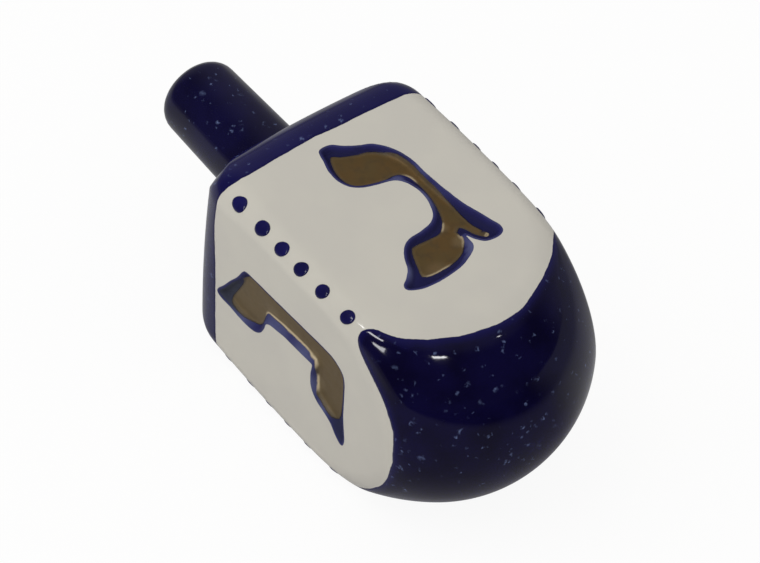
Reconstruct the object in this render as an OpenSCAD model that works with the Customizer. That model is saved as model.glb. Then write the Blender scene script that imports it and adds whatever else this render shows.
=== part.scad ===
// Ceramic dreidel, lying on one flat face.
// The spinning axis runs along X, with the stem towards -X and the round end towards +X.
// The origin is on the ground, below the middle of the whole length.

/* [Body] */
// Width across two opposite flat faces
body_width = 50; // [44:1:60]
// Rounding of the four long edges
corner_radius = 4.5; // [3:0.5:6]
// From the plane of the ball's widest circle to the flat top
flank_length = 38; // [34:1:46]
// Thickness of the cast wall
wall = 4.5; // [3:0.5:6]
// Least rounding inside the casting, where slip gathers
inner_corner = 3; // [2:0.5:4]

/* [Shoulder] */
// Rounding between a flat face and the top
shoulder_radius = 9; // [6:0.5:10]
// Rounding of the shoulder where it turns over the long edges
sweep_radius = 21.5; // [18:0.5:26]
// How far in from the long edges that rounding starts
sweep_reach = 15; // [11:0.5:17]

/* [Ball end] */
// How far the ball's widest circle stands outside the long edges
ball_margin = 2; // [1:0.5:4]
// How much longer the ball end is than half a sphere
ball_stretch = 7.6; // [3:0.2:10]
// How far past the axis the arc of the ball's flank is centred
flank_offset = 14.2; // [12:0.2:20]

/* [Stem] */
// Diameter where the stem meets the top
stem_d = 18.4; // [14:0.2:20]
// How much narrower the stem is at its tip
stem_draft = 1.4; // [0:0.1:3]
// Length that stands out of the body
stem_length = 32; // [24:1:42]
// Rounding of the stem's end
stem_end_radius = 4.2; // [2:0.2:5]
// Pour hole in the top, which takes the tenon
socket_d = 12; // [9:0.5:12]
// Gap round the tenon, filled by glaze
tenon_clearance = 0.15; // [0.1:0.05:0.3]
// How far the tenon reaches past the wall
tenon_reach = 2; // [1:0.5:4]

/* [Game marks] */
// Height of the place that each mark fills
mark_height = 40; // [34:0.5:41]
// From the flat top to the middle of that place
mark_drop = 33; // [31:0.5:34]
// Depth of a mark below its face
mark_depth = 1.25; // [0.8:0.05:1.8]

/* [Glaze dots] */
// Dots on each long edge
dots_per_row = 6; // [3:1:8]
// Diameter of a dot
dot_d = 3.2; // [2.4:0.1:3.4]
// Height of a dot above the edge
dot_height = 0.6; // [0.3:0.1:0.7]
// Radius of a dot's domed top
dot_dome = 3; // [2.6:0.1:4]
// From the flat top to the middle of the first dot
first_dot = 14.7; // [12:0.1:20]
// From the middle of the last dot to where the ball cuts the edge
last_dot_gap = 2.3; // [2:0.1:5]
// Gap between a dot and the edge it sits on
dot_seat = 0.02; // [0.01:0.01:0.05]

/* [Hidden] */
$fn = 96;

// Each mark is one or more strokes, and each stroke a few points that a smooth closed line runs
// through. A point is a share of the mark's height to the right of the face's middle and another
// above the middle of the mark, as the mark is read with the stem up.
gimel_shares = [
    [
        [-0.085, 0.48], [-0.03, 0.495], [0.04, 0.44], [0.16, 0.38], [0.24, 0.26], [0.265, 0.09],
        [0.28, -0.085], [0.32, -0.275], [0.355, -0.39], [0.32, -0.44], [0.235, -0.43],
        [0.18, -0.34], [0.175, -0.41], [0.115, -0.46], [-0.025, -0.5], [-0.19, -0.495],
        [-0.265, -0.45], [-0.225, -0.4], [-0.155, -0.3], [-0.06, -0.21], [0.085, -0.19],
        [0.16, -0.095], [0.16, 0.045], [0.09, 0.14], [-0.055, 0.185], [-0.125, 0.285], [-0.1, 0.42]
    ]
];
he_shares = [
    [
        [-0.3, 0.4], [-0.215, 0.365], [-0.015, 0.33], [0.2, 0.34], [0.3, 0.235], [0.285, 0.015],
        [0.275, -0.24], [0.305, -0.43], [0.26, -0.49], [0.19, -0.355], [0.16, -0.12], [0.17, 0.105],
        [0.08, 0.2], [-0.13, 0.195], [-0.28, 0.225], [-0.32, 0.345]
    ],
    [
        [-0.24, 0.085], [-0.15, 0.075], [-0.12, -0.09], [-0.105, -0.31], [-0.16, -0.48],
        [-0.22, -0.44], [-0.225, -0.23], [-0.24, -0.025]
    ]
];
shin_shares = [
    [
        [-0.32, 0.34], [-0.225, 0.265], [-0.23, 0.065], [-0.19, -0.17], [-0.1, -0.29],
        [-0.065, -0.11], [-0.08, 0.115], [-0.085, 0.28], [0.01, 0.32], [0.07, 0.235], [0.06, -0.01],
        [0.1, -0.29], [0.19, -0.16], [0.21, 0.08], [0.2, 0.28], [0.285, 0.335], [0.35, 0.235],
        [0.345, -0.005], [0.275, -0.28], [0.105, -0.46], [-0.12, -0.48], [-0.29, -0.335],
        [-0.34, -0.07], [-0.365, 0.175]
    ]
];
nun_shares = [
    [
        [-0.12, 0.535], [-0.03, 0.49], [0.13, 0.39], [0.23, 0.32], [0.24, 0.16], [0.26, -0.065],
        [0.275, -0.3], [0.215, -0.46], [0.06, -0.48], [-0.155, -0.495], [-0.275, -0.5],
        [-0.255, -0.44], [-0.18, -0.345], [-0.125, -0.25], [-0.01, -0.22], [0.07, -0.22],
        [0.065, -0.115], [0.06, 0], [0.035, 0.115], [-0.035, 0.16], [-0.125, 0.22], [-0.14, 0.365],
        [-0.135, 0.505]
    ]
];
// Straight pieces that a mark's line has from one of its points to the next
line_steps = 3;

half = body_width / 2;
// Distance from the axis to the crest of a rounded long edge
edge_reach = sqrt(2) * (half - corner_radius) + corner_radius;
ball_radius = edge_reach + ball_margin;
ball_length = ball_radius + ball_stretch;
// The flank arc and the nose sphere are tangent: nose centre, flank centre and
// the point where they meet lie on one line
flank_radius = ball_radius + flank_offset;
nose_radius = ball_radius - ball_stretch * ball_stretch / (2 * (flank_offset - ball_stretch));
nose_centre = ball_length - nose_radius;
nose_angle = atan2(nose_centre, flank_offset);
// Where the flank arc crosses the crest of a long edge
edge_end = sqrt(pow(flank_radius, 2) - pow(edge_reach + flank_offset, 2));

sweep_centre = edge_reach - sweep_reach;
stem_taper = atan2(stem_draft / 2, stem_length);
dot_pitch = (edge_end - last_dot_gap + flank_length - first_dot) / (dots_per_row - 1);
// The whole length is centred on the origin
axis_shift = (flank_length + stem_length - ball_length) / 2;
// Overrun of shapes that only cut or trim
over = body_width;

// Everything is drawn on a vertical axis with the round end up, then laid down
module lay_down() {
    translate([axis_shift, 0, half]) rotate([0, 90, 0]) children();
}

// A rounding pulled in by the wall, but never tighter than slip allows
function eased(radius, inset) = inset == 0 ? radius : max(radius - inset, inner_corner);

module rounded_square(side, radius) {
    square([2 * side, 2 * (side - radius)], center = true);
    square([2 * (side - radius), 2 * side], center = true);
    for (x = [-1, 1], y = [-1, 1])
        translate([x * (side - radius), y * (side - radius)]) circle(r = radius);
}

// Side view of the body: straight flanks with a rounded shoulder at the bottom
module shoulder_profile(side, top, radius) {
    translate([-side, radius - top]) square([2 * side, top + over]);
    translate([radius - side, -top]) square([2 * (side - radius), radius]);
    for (x = [-1, 1])
        translate([x * (side - radius), radius - top]) circle(r = radius);
}

// Half section of the turned form: flat top, swept shoulder, barrel, flank arc and nose
module turned_profile(inset) {
    top = flank_length - inset;
    sweep = sweep_radius - inset;
    reach = ball_radius - inset;
    meet = nose_centre + (nose_radius - inset) * sin(nose_angle);
    translate([0, -top]) square([sweep_centre, sweep]);
    intersection() {
        translate([sweep_centre, sweep - top]) circle(r = sweep);
        translate([0, -top]) square([reach, sweep]);
    }
    translate([0, sweep - top]) square([reach, top - sweep]);
    intersection() {
        translate([-flank_offset, 0]) circle(r = flank_radius - inset);
        square([reach, meet]);
    }
    intersection() {
        translate([0, nose_centre]) circle(r = nose_radius - inset);
        translate([0, meet]) square([reach, reach]);
    }
}

// The outside of the body, or its hollow when pulled in by the wall
module body_form(inset) {
    side = half - inset;
    top = flank_length - inset;
    intersection() {
        rotate_extrude() turned_profile(inset);
        translate([0, 0, -top])
            linear_extrude(height = top + ball_length + over)
                rounded_square(side, eased(corner_radius, inset));
        for_both_ways()
            linear_extrude(height = 2 * over, center = true)
                shoulder_profile(side, top, eased(shoulder_radius, inset));
    }
}

// Two upright extrusions, square to each other, and what they have in common
module for_both_ways() {
    intersection() {
        rotate([90, 0, 0]) children();
        rotate([90, 0, 90]) children();
    }
}

// A place between b and c on the smooth line through a, b, c and d, where t runs from 0 to 1:
// it leaves b parallel to the chord from a to c and reaches c parallel to the one from b to d
function on_line(a, b, c, d, t) =
    b + t / 2 * (c - a + t * (2 * a - 5 * b + 4 * c - d + t * (3 * (b - c) + d - a)));

function smooth_loop(p) = [
    for (i = [0 : len(p) - 1], step = [0 : line_steps - 1])
        on_line(
            p[(i + len(p) - 1) % len(p)], p[i], p[(i + 1) % len(p)], p[(i + 2) % len(p)],
            step / line_steps
        )
];

// A mark as a straight-sided stamp that stands in the face that this turn points to
module mark_stamp(turn, strokes) {
    rotate([0, 0, turn])
        translate([half - mark_depth, 0, mark_drop - flank_length])
            rotate([-90, 0, -90])
                linear_extrude(height = mark_depth + over)
                    for (stroke = strokes)
                        polygon([for (p = smooth_loop(stroke)) mark_height * p]);
}

module body() {
    color("ivory")
        lay_down()
            difference() {
                body_form(0);
                body_form(wall);
                translate([0, 0, -flank_length - wall])
                    cylinder(d = socket_d, h = 3 * wall);
                mark_stamp(180, gimel_shares);
                mark_stamp(90, he_shares);
                mark_stamp(0, shin_shares);
                mark_stamp(270, nun_shares);
            }
}

module stem() {
    reach = stem_length - stem_end_radius;
    round_at = stem_d / 2 - reach * tan(stem_taper) - stem_end_radius / cos(stem_taper);
    side_at = round_at + stem_end_radius * cos(stem_taper);
    side_up = reach + stem_end_radius * sin(stem_taper);
    color("midnightblue")
        lay_down()
            translate([0, 0, -flank_length]) {
                rotate([180, 0, 0])
                    rotate_extrude() {
                        polygon([
                            [0, 0], [stem_d / 2, 0], [side_at, side_up],
                            [round_at, reach], [round_at, stem_length], [0, stem_length]
                        ]);
                        intersection() {
                            translate([round_at, reach]) circle(r = stem_end_radius);
                            square([stem_d, stem_length]);
                        }
                    }
                cylinder(d = socket_d - 2 * tenon_clearance, h = wall + tenon_reach);
            }
}

// One domed dot on the crest of a rounded edge that points along +X
module glaze_dot() {
    difference() {
        translate([edge_reach - dot_height, 0, 0])
            rotate([0, 90, 0])
                rotate_extrude()
                    intersection() {
                        translate([0, 2 * dot_height - dot_dome]) circle(r = dot_dome);
                        square([dot_d / 2, 2 * dot_height]);
                    }
        translate([edge_reach - corner_radius, 0, -dot_d])
            cylinder(r = corner_radius + dot_seat, h = 2 * dot_d);
    }
}

module dot_row(turn) {
    color("midnightblue")
        lay_down()
            rotate([0, 0, turn])
                for (i = [0 : dots_per_row - 1])
                    translate([0, 0, first_dot - flank_length + i * dot_pitch]) glaze_dot();
}

module dots_nun_gimel() { dot_row(225); }
module dots_gimel_he() { dot_row(135); }
module dots_he_shin() { dot_row(45); }
module dots_shin_nun() { dot_row(315); }

body();
stem();
dots_nun_gimel();
dots_gimel_he();
dots_he_shin();
dots_shin_nun();
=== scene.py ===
# %% [markdown]
# This lesson dresses a ceramic dreidel that lies on one of its four faces.
# The real one is slip-cast earthenware: a cream body with a game mark pressed into each face,
# cobalt glaze on the shoulder, the stem and the ball end, and raised dots along the long edges.
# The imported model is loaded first, because every piece made here has to lie on its solids.
# %% The frame
import math
import bpy
import numpy as np
from mathutils import Matrix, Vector
from mathutils.geometry import delaunay_2d_cdt


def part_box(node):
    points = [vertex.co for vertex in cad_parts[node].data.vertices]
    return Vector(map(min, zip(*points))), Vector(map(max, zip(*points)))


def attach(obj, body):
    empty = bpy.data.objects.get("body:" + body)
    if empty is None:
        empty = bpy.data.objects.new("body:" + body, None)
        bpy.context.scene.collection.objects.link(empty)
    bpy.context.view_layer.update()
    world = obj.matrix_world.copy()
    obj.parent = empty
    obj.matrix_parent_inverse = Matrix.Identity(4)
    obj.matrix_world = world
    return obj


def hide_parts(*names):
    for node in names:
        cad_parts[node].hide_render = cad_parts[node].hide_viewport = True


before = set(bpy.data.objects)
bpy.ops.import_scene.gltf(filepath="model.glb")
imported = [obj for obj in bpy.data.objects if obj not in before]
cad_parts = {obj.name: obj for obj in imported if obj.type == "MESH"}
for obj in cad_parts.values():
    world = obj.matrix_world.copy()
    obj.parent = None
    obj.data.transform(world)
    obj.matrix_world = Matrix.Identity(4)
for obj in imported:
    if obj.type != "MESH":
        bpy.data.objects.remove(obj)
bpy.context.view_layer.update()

MM = 0.001
WHOLE_TURN = 2 * np.pi
body_low, body_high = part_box("body")
stem_low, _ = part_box("stem")
HALF = (body_high.y - body_low.y) / 2 / MM
AXIS_HEIGHT = (body_high.z + body_low.z) / 2 / MM
print("body half width", round(HALF, 2), "mm, axis", round(AXIS_HEIGHT, 2), "mm above the ground")

# %% [markdown]
# The shapes below are worked out in millimetres from one handy point: the middle of the ball's
# widest circle, on the spinning axis. X runs along the axis towards the ball. Only the last step,
# into_frame, turns such numbers into metres in the frame, so a formula never holds an offset.
# %% Where the shapes are worked out
FLANK = 38.0
EQUATOR = body_low.x / MM + FLANK
BALL_LENGTH = body_high.x / MM - EQUATOR
STEM_TIP = stem_low.x / MM - EQUATOR


def into_frame(points):
    """Millimetres from the ball's widest circle, made metres in the frame."""
    return (points + np.array([EQUATOR, 0, AXIS_HEIGHT])) * MM


print("ball end", round(BALL_LENGTH, 2), "mm long, stem tip at", round(STEM_TIP, 2), "mm")

# %% [markdown]
# A camera is a place, a direction and a lens. The photograph was taken from above the nun face and
# from far away, so lines hardly converge: that is a long lens at a distance of over a metre.
# The angles were found by matching the object's outline, and the small shift of the aim puts the
# object where it stands in the picture. The helper that sets the camera down also sets the lamps.
# %% The camera
CAMERA_AZIMUTH = math.radians(48.337)
CAMERA_ELEVATION = math.radians(49.703)
CAMERA_ROLL = math.radians(5.442)
CAMERA_DISTANCE = 1181.7
AIM_RIGHT, AIM_UP = -4.0, 4.625
PICTURE_WIDTH = 760
FOCAL_PIXELS = 6000
FARTHEST_SEEN = 20


def unit(vectors):
    """Each vector divided by its length."""
    return vectors / np.linalg.norm(vectors, axis=-1, keepdims=True)


def set_down(thing, place, right, up, back):
    """Puts a camera or a lamp into the scene at a place in metres, with its three axes as given."""
    bpy.context.scene.collection.objects.link(thing)
    turn = Matrix(np.column_stack([right, up, back]).tolist()).to_4x4()
    thing.matrix_world = Matrix.Translation(place.tolist()) @ turn


def make_camera():
    """Back points from the object at the lens and right is level. Both other axes are then rolled."""
    level = math.cos(CAMERA_ELEVATION)
    back = np.array([math.sin(CAMERA_AZIMUTH) * level, -math.cos(CAMERA_AZIMUTH) * level,
                     math.sin(CAMERA_ELEVATION)])
    right = np.array([math.cos(CAMERA_AZIMUTH), math.sin(CAMERA_AZIMUTH), 0])
    up = np.cross(back, right)
    rolled_right = right * math.cos(CAMERA_ROLL) + up * math.sin(CAMERA_ROLL)
    rolled_up = up * math.cos(CAMERA_ROLL) - right * math.sin(CAMERA_ROLL)
    place = into_frame(back * CAMERA_DISTANCE + rolled_right * AIM_RIGHT + rolled_up * AIM_UP)
    lens = bpy.data.cameras.new("camera")
    lens.lens = FOCAL_PIXELS / PICTURE_WIDTH * lens.sensor_width
    lens.clip_end = FARTHEST_SEEN
    camera = bpy.data.objects.new("camera", lens)
    set_down(camera, place, rolled_right, rolled_up, back)
    bpy.context.scene.camera = camera
    print("camera at", place.round(3), "m, lens", round(lens.lens), "mm")


make_camera()

# %% [markdown]
# The body could be a cube with bevels, but then the run of the flat faces into the ball would be
# a guess. It is drawn instead as one formula that tells how far any point lies outside the skin.
# Three forms are combined: a rounded square bar, the flat top with its swept shoulder, and the
# ball end. Where two of them meet, a fillet rounds the edge, as thick glaze does.
# %% The body's form
# Radii in mm. Those of the long edges grow towards the top, and the flank's arc has its centre beyond
# the axis, so that it is flatter than the ball. The top is domed by a share of the reach squared.
CORNER_R, CORNER_GROWTH = 4.35, 3.15
TOP_DOME = 0.00168
SHOULDER_R = 8.8
SWEEP_R, BARREL_R = 21.5, 39.9
BALL_R = 35.49
FLANK_OFFSET = 14.2
CREASE_R = 2.4
ball_stretch = BALL_LENGTH - BALL_R
flank_radius = BALL_R + FLANK_OFFSET
nose_radius = BALL_R - ball_stretch ** 2 / (2 * (FLANK_OFFSET - ball_stretch))
nose_centre = BALL_LENGTH - nose_radius


def fillet(first, second, radius):
    """What two walls have in common: the larger of both distances, with a fillet where they meet."""
    inner = np.minimum(np.maximum(first, second), -radius)
    return inner + np.hypot(np.maximum(first + radius, 0), np.maximum(second + radius, 0))


def outside(points):
    """How far each point lies outside the body's skin, negative inside it."""
    x, y, z = points[..., 0], points[..., 1], points[..., 2]
    reach = np.hypot(y, z)
    corner = CORNER_R + CORNER_GROWTH * np.clip(-x / FLANK, 0, 1) ** 2
    bar = fillet(np.abs(y) - HALF, np.abs(z) - HALF, corner)
    top = -x - FLANK + TOP_DOME * reach ** 2
    shoulder = np.maximum(fillet(bar, top, SHOULDER_R), fillet(reach - BARREL_R, top, SWEEP_R))
    flank = np.hypot(np.maximum(x, 0), reach + FLANK_OFFSET) - flank_radius
    nose = np.hypot(x - nose_centre, reach) - nose_radius
    past_flank = x * FLANK_OFFSET > (reach + FLANK_OFFSET) * nose_centre
    return fillet(shoulder, np.where(past_flank, nose, flank), CREASE_R)


# %% Finding the skin
RAY_REACH, RAY_HALVINGS = 70.0, 40
SLOPE_STEP = 0.02


def on_axis(x):
    """Points on the spinning axis."""
    return np.stack([x, np.zeros_like(x), np.zeros_like(x)], axis=-1)


def skin_points(start, direction):
    """Where rays from inside leave the body: the stretch that holds the skin is halved each time."""
    near = np.zeros(direction.shape[:-1])
    far = np.full(direction.shape[:-1], RAY_REACH)
    for _ in range(RAY_HALVINGS):
        middle = (near + far) / 2
        is_out = outside(start + direction * middle[..., None]) > 0
        far = np.where(is_out, middle, far)
        near = np.where(is_out, near, middle)
    return start + direction * near[..., None]


def skin_normals(points):
    """The direction in which outside() grows fastest, from differences along each axis."""
    shifts = np.eye(3) * SLOPE_STEP
    return unit(np.stack([outside(points + s) - outside(points - s) for s in shifts], axis=-1))


# %% [markdown]
# A mesh grid follows the form best when its lines run the way the form does. Here the columns are
# rays that turn about the axis, and the rows step along it. At the top and at the ball the rows
# lean over like a fan, until they meet in a pole. Each face keeps a rectangular window, in which
# the columns run straight, and the pressed mark is cut into that window later.
# %% Rows and columns
# The window's rows and half width, and the grid's steps, in mm
WINDOW_TOP, WINDOW_FOOT = -27.5, 18.1
WINDOW_HALF = 16.0
CELL = 0.8
FINE_CELL = 0.55
TOP_ROWS, SHOULDER_ROWS, BALL_ROWS = 19, 25, 64
INNERMOST_SHARE = 0.04
QUARTER_TURN = np.pi / 2
EIGHTH_TURN = np.pi / 4

window_rows = round((WINDOW_FOOT - WINDOW_TOP) / CELL)
window_columns = round(2 * WINDOW_HALF / CELL)


def fan_over_the_top():
    """Leans of the rays that fan from the window's top row over the shoulder to the top's middle."""
    flat_reach = HALF - SHOULDER_R
    flat = np.outer(np.linspace(INNERMOST_SHARE, 1, TOP_ROWS), [0, flat_reach]) + [-FLANK, 0]
    bend = np.linspace(0, QUARTER_TURN, SHOULDER_ROWS + 1)[1:]
    round_part = np.column_stack([-FLANK + SHOULDER_R * (1 - np.cos(bend)),
                                  flat_reach + SHOULDER_R * np.sin(bend)])
    target = np.vstack([flat, round_part, [[(WINDOW_TOP - FLANK + SHOULDER_R) / 2, HALF]]])
    return np.arctan2(target[:, 0] - WINDOW_TOP, target[:, 1])


def rows():
    """For each row, where its rays start on the axis and how far they lean towards the ball."""
    top_lean = fan_over_the_top()
    straight = np.linspace(WINDOW_TOP, WINDOW_FOOT, window_rows + 1)
    ball_lean = np.linspace(0, QUARTER_TURN, BALL_ROWS + 2)[1:-1]
    start = np.concatenate([np.full(len(top_lean), WINDOW_TOP), straight,
                            np.full(len(ball_lean), WINDOW_FOOT)])
    lean = np.concatenate([top_lean, np.zeros(len(straight)), ball_lean])
    return start, lean, len(top_lean)


def columns():
    """Turns of the columns about the axis: even steps along each face, finer ones round its corners."""
    edge = np.arctan(WINDOW_HALF / HALF)
    corner_steps = round((EIGHTH_TURN - edge) * HALF * math.sqrt(2) / FINE_CELL)
    rising = np.linspace(-EIGHTH_TURN, -edge, corner_steps + 1)[:-1]
    flat = np.arctan(np.linspace(-WINDOW_HALF, WINDOW_HALF, window_columns + 1)[:-1] / HALF)
    falling = np.linspace(edge, EIGHTH_TURN, corner_steps + 1)[:-1]
    quarter = np.concatenate([rising, flat, falling])
    turns = np.concatenate([quarter + face * QUARTER_TURN for face in range(4)])
    return turns, corner_steps


row_start, row_lean, first_window_row = rows()
column_turn, corner_steps = columns()
row_count, column_count = len(row_start), len(column_turn)
print("body grid", row_count, "rows by", column_count, "columns")


# %% The rays of a grid, and its faces
def ray_directions(lean, turn):
    """Unit rays: turn goes round the axis from +Z towards +Y, and lean tips the ray towards the ball."""
    lean, turn = np.broadcast_arrays(lean, turn)
    return np.stack([np.sin(lean), np.cos(lean) * np.sin(turn), np.cos(lean) * np.cos(turn)], axis=-1)


def ring_faces(rings, spokes):
    """Quads between neighbouring rings of points, and two fans that close the first and the last ring.
    The two poles are numbered after the rings. Where the rings run the other way, the faces have to be
    flipped."""
    ring, spoke = np.divmod(np.arange((rings - 1) * spokes), spokes)
    here, beside = ring * spokes + spoke, ring * spokes + (spoke + 1) % spokes
    quads = np.column_stack([here, beside, beside + spokes, here + spokes])
    one, after = np.arange(spokes), (np.arange(spokes) + 1) % spokes
    last, pole = (rings - 1) * spokes, np.full(spokes, rings * spokes)
    return quads, np.vstack([np.column_stack([after, one, pole]),
                             np.column_stack([last + one, last + after, pole + 1])])


# %% [markdown]
# The marks are the four letters that a dreidel is played with, one to a face. They are drawn as a
# brush would write them: a few points round each stroke, joined by one smooth closed line. Every
# face has its own right and up, with up towards the stem, so that each letter stands upright
# when the dreidel is held by its stem. Points are in millimetres from the face's centre line, and
# from the ball's widest circle upwards.
# %% The four game marks
GIMEL = [[
    (-3.4, 24.2), (-2.1, 24.7), (-0.4, 24.4), (1.6, 22.7), (4.1, 21.2), (6.4, 20.1), (8.2, 18.2),
    (9.6, 15.5), (10.4, 12.3), (10.5, 8.6), (10.8, 4.7), (11.2, 1.6), (11.8, -2.2), (12.9, -5.9),
    (13.7, -8.8), (14.2, -10.6), (13.9, -11.9), (12.7, -12.6), (11, -12.6), (9.4, -12.1), (8.1, -10.6),
    (7.2, -8.7), (7, -9), (6.9, -11.2), (6.2, -12.4), (4.6, -13.4), (2, -14.5), (-1, -15), (-4.4, -15.2),
    (-7.5, -14.9), (-9.9, -14), (-10.7, -13.1), (-10.4, -12.1), (-9, -11.1), (-7.3, -9.3), (-6.2, -6.9),
    (-4.5, -4.6), (-2.4, -3.5), (0.8, -3.2), (3.4, -2.6), (5.2, -1.2), (6.3, 1.2), (6.8, 4), (6.5, 6.8),
    (5.4, 9.2), (3.6, 10.5), (0.6, 11.3), (-2.2, 12.4), (-4, 14), (-4.9, 16.4), (-4.8, 19.2),
    (-4.1, 21.8),
]]
NUN = [[
    (-4.8, 26.4), (-3.4, 26), (-1.2, 24.5), (2, 22.6), (5.2, 20.5), (8.2, 19), (9.2, 17.9), (9.5, 15.6),
    (9.7, 11.5), (10, 7), (10.3, 2.4), (10.6, -2), (10.9, -6.9), (10.8, -9.8), (10, -12), (8.7, -13.4),
    (6.6, -14), (2.4, -14.2), (-2.4, -14.4), (-6.2, -14.9), (-9, -15.3), (-10.9, -15), (-11.3, -14.1),
    (-10.2, -12.6), (-8.3, -10.9), (-7.1, -8.8), (-6.3, -6.6), (-5, -5), (-3.2, -4.1), (-0.4, -3.8),
    (1.9, -4), (2.8, -3.8), (2.8, -2.4), (2.6, 0.4), (2.5, 2.8), (2.4, 4.9), (1.9, 7.3), (1.4, 9.6),
    (0.4, 10.9), (-1.4, 11.4), (-3.4, 12.3), (-4.9, 13.9), (-5.6, 16.4), (-5.6, 19.6), (-5.4, 22.6),
    (-5.4, 25.2),
]]
HE = [[
    (-12, 21), (-10.6, 21.4), (-8.6, 19.6), (-5.2, 18.5), (-0.6, 18.3), (4, 18.7), (8, 18.6),
    (10.8, 17.2), (12, 14.4), (12, 10.4), (11.5, 5.6), (11.1, 0.4), (11.1, -4.6), (11.6, -9),
    (12.2, -12.2), (11.9, -14.4), (10.4, -14.6), (8.9, -12.8), (7.5, -9.2), (6.6, -4.8), (6.4, 0.2),
    (6.8, 5.2), (6.9, 9.2), (5.8, 12), (3.2, 13.1), (-0.8, 13.2), (-5.2, 12.8), (-8.8, 12.9),
    (-11.2, 14), (-12.4, 16.2), (-12.7, 18.8),
], [
    (-9.6, 8.4), (-8, 9), (-6, 8), (-5, 5.4), (-4.7, 1.4), (-4.3, -3), (-4.2, -7.4), (-4.9, -11.4),
    (-6.4, -14.2), (-8, -14.6), (-8.9, -12.6), (-9.2, -8.8), (-9, -4.2), (-9.1, 0.4), (-9.7, 4),
    (-10.4, 6.6),
]]
SHIN = [[
    (-12.9, 18.6), (-10.6, 18), (-9, 15.6), (-8.8, 12), (-9.2, 7.6), (-8.9, 2.8), (-7.7, -1.8),
    (-5.6, -5.6), (-4, -6.6), (-3.1, -4.2), (-2.6, 0.6), (-2.6, 5.4), (-3.2, 9.6), (-3.9, 13.2),
    (-3.4, 16.2), (-1.2, 17.7), (1.4, 17.2), (2.9, 14.8), (3.1, 10.8), (2.6, 6), (2.3, 1), (2.7, -4),
    (3.9, -6.6), (5.9, -5.4), (7.7, -1.4), (8.5, 3.4), (8.3, 8.2), (7.6, 12.4), (8, 16.2), (9.9, 18.5),
    (12.3, 17.8), (13.8, 14.8), (14.1, 10.2), (13.8, 4.8), (12.9, -0.8), (11, -6.2), (8, -10.6),
    (4.2, -13.4), (-0.2, -14.6), (-4.8, -14.2), (-8.8, -12.2), (-11.6, -8.4), (-13, -3.4), (-13.5, 2.2),
    (-13.9, 7.4), (-14.6, 12), (-14.4, 16.2),
]]
# The gold was laid in with a second brush, so on the two faces in the photograph it has its own line
GIMEL_GOLD = [
    (-1.5, 22.7), (0.2, 21.6), (2.6, 20.4), (5, 19.5), (7.3, 17.8), (9, 15.4), (9.8, 12.4), (9.9, 9),
    (10, 5.6), (10.2, 2.4), (10.3, -0.8), (10.3, -4), (10.5, -6.6), (11.2, -8.8), (11.9, -10.3),
    (11.1, -10.8), (10, -9.8), (9.2, -8.4), (8.7, -6.9), (7.9, -5.9), (6.9, -6.2), (6.5, -7.4),
    (6.5, -8.9), (5.8, -10.2), (4.2, -11.6), (1.8, -12.4), (-1.2, -12.6), (-4, -12.5), (-5.6, -11.7),
    (-5.1, -9.7), (-4.2, -7.3), (-3.3, -5.4), (-2.7, -4.9), (-1.2, -4.8), (1.4, -4.9), (4, -4.9),
    (5.7, -3.5), (6.8, -1.4), (7.6, 1.4), (8.1, 4.4), (8.2, 7.4), (7.9, 9.6), (7, 11.2), (5.4, 11.9),
    (3, 11.9), (0.6, 12.5), (-1.6, 13.4), (-3, 15), (-3.5, 17.3), (-3.2, 19.6), (-2.5, 21.6),
]
NUN_GOLD = [
    (-4.3, 22.8), (-2.2, 22.3), (0.8, 21), (3.6, 19.9), (6.2, 19), (7.5, 17.2), (7.8, 13.4), (8.1, 9),
    (8.4, 4.4), (8.7, 0), (9, -4), (9.1, -7.6), (8.7, -10.6), (7.2, -12.2), (4.2, -12.6), (0, -12.7),
    (-4.2, -12.5), (-6.7, -12), (-7.2, -11), (-6.5, -9.1), (-5.8, -7.3), (-4.8, -5.7), (-3, -5.1),
    (-0.4, -4.8), (2.2, -4.6), (3.3, -4.4), (3.7, -3.8), (3.7, -2.8), (3.9, -1.4), (3.8, 0.6),
    (3.6, 3.2), (3.3, 6.2), (2.8, 9.2), (2, 11.7), (0.2, 12.4), (-2, 12.9), (-3.7, 14.2), (-4.7, 16.8),
    (-4.9, 19.6),
]
# On the other two faces it begins this far inside the mark's line
HIDDEN_GOLD_INSET = 1.7
# Places where the blue on the wall is painted lighter, partly for thin brushing and partly as painted
# light where the wall faces the light: across, up and radius
GIMEL_THIN_AND_LIT = [(5.4, 10.4, 3.1), (6.2, 3.0, 3.4), (12.0, 9.5, 2.6), (6.4, -12.2, 3.2), (-8.0, -10.0, 2.0)]
NUN_THIN_AND_LIT = [(1.9, 8.0, 4.5), (2.9, -0.5, 4.0), (-5.4, 19.0, 3.5), (-3.0, -4.2, 3.0), (-6.6, -8.0, 2.2)]
HE_THIN_AND_LIT = [(-3.0, 12.9, 4.0), (6.6, 1.0, 4.0), (-9.2, 2.0, 3.0)]
SHIN_THIN_AND_LIT = [(-8.9, 4.0, 4.0), (2.6, 2.0, 3.0), (8.2, 6.0, 3.0)]
# Places where pale highlights are painted onto the gold along its edge: across, up and radius
GIMEL_PAINTED_HIGHLIGHTS = [
    (-2.2, -12.6, 3.8), (7.1, 9.3, 2.3), (5.6, -4.2, 1.6), (5.4, -8.6, 1.9), (11.3, -10.3, 0.75),
]
NUN_PAINTED_HIGHLIGHTS = [
    (2.6, 10, 3.6), (3, 6.4, 2.8), (3.4, 3, 3.4), (3.6, 0, 2.4), (3.6, -3.2, 2.6), (-2, -5.2, 2.8),
]
HE_PAINTED_HIGHLIGHTS = [(6.8, 2.0, 4.0), (-8.9, 1.0, 3.0)]
SHIN_PAINTED_HIGHLIGHTS = [(-8.6, 5.0, 4.0), (8.0, 7.0, 4.0)]

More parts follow.
